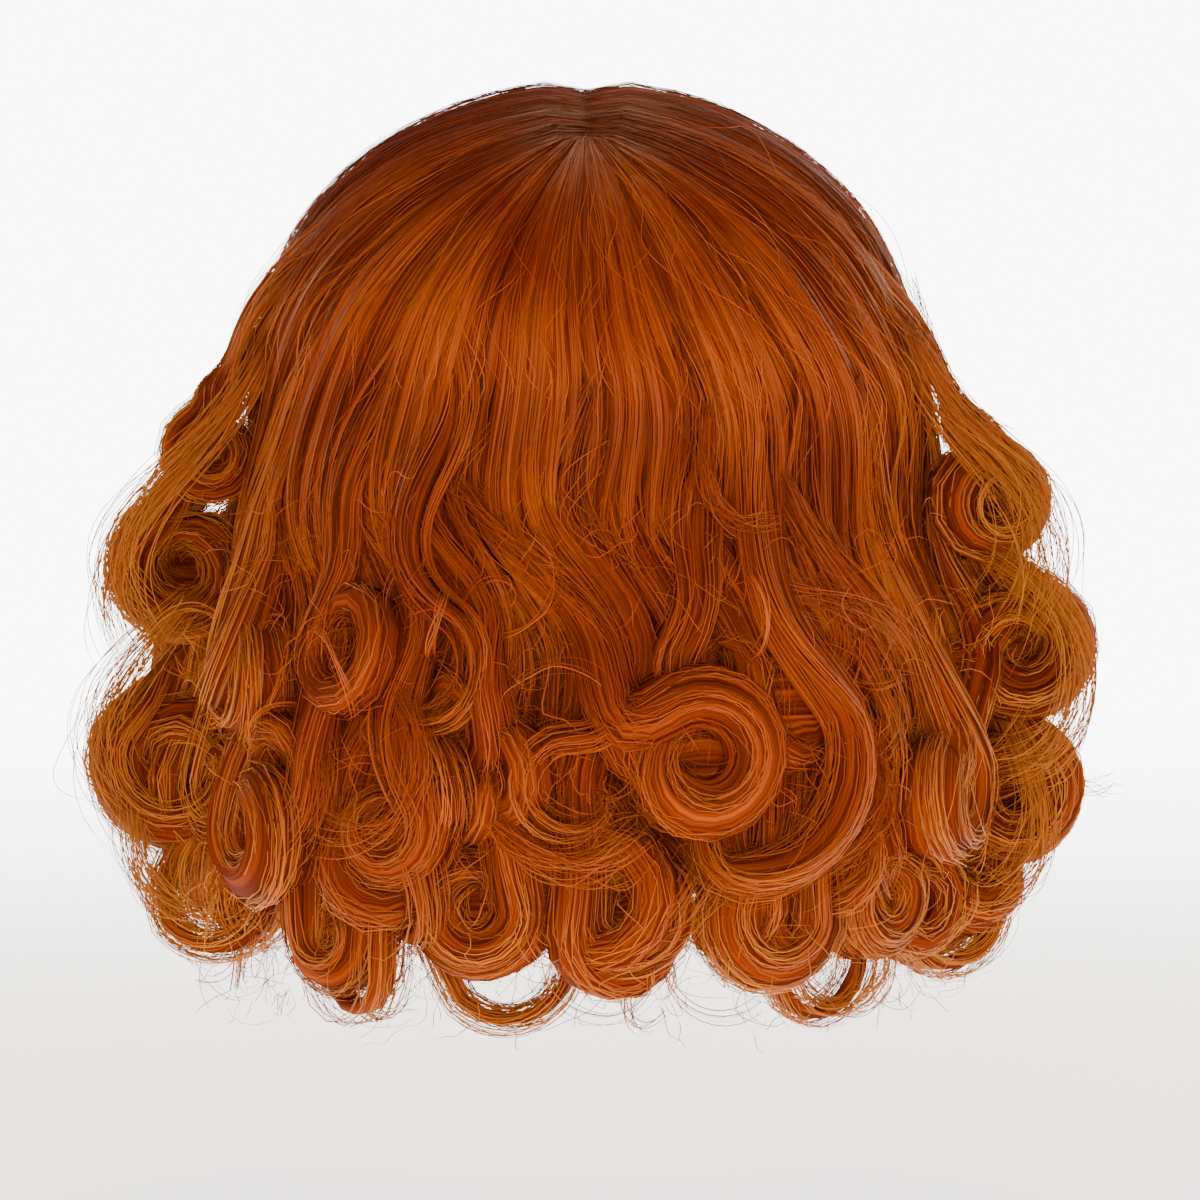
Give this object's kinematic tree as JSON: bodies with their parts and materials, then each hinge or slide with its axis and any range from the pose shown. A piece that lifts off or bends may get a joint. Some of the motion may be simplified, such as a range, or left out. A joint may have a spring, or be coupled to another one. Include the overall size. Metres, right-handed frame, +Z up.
{
  "type": "curly costume wig",
  "caption": "Short curly bob wig on a net cap, with a centre parting, waves over the dome and a ring of curls round the hem.",
  "frame": {"origin": "inside of the cap's crown, where the top of the head sits", "axes": "+Z up, +Y the way the wearer faces, +X the wearer's right"},
  "size_m": [0.3319, 0.2622, 0.3058],
  "materials": {
    "hair": "glossy copper-orange synthetic fibre, combed in strands",
    "under_hair": "shaded copper-brown synthetic fibre",
    "cap_net": "matt brown net with sewn wefts"
  },
  "bodies": {
    "root": {"wig_cap": "cap_net", "under_hair": "under_hair", "front_wave_left": "hair", "temple_wave_left": "hair", "side_wave_left": "hair", "back_wave_1": "hair", "back_wave_2": "hair", "back_wave_3": "hair", "back_wave_4": "hair", "back_wave_5": "hair", "back_wave_6": "hair", "side_wave_right": "hair", "temple_wave_right": "hair", "front_wave_right": "hair", "rose_curl": "hair", "open_curl": "hair", "right_sweep": "hair", "left_hook": "hair", "left_mid_curl": "hair", "left_low_spiral": "hair", "left_side_curl": "hair", "left_temple_curl": "hair", "left_barrel_high": "hair", "left_barrel_low": "hair", "left_hem_loop": "hair", "left_hem_curl": "hair", "left_back_loop": "hair", "hem_curl_1": "hair", "hem_curl_2": "hair", "hem_curl_3": "hair", "hem_curl_4": "hair", "right_back_loop": "hair", "right_hem_loop": "hair", "right_low_spiral": "hair", "right_roll_high": "hair", "right_barrel_mid": "hair", "right_fall": "hair", "left_cheek_curl_high": "hair", "left_cheek_curl_low": "hair", "left_jaw_curl": "hair", "left_front_tip": "hair", "right_cheek_curl_high": "hair", "right_cheek_curl_low": "hair", "right_jaw_curl": "hair", "right_front_tip": "hair"}
  },
  "joints": []
}
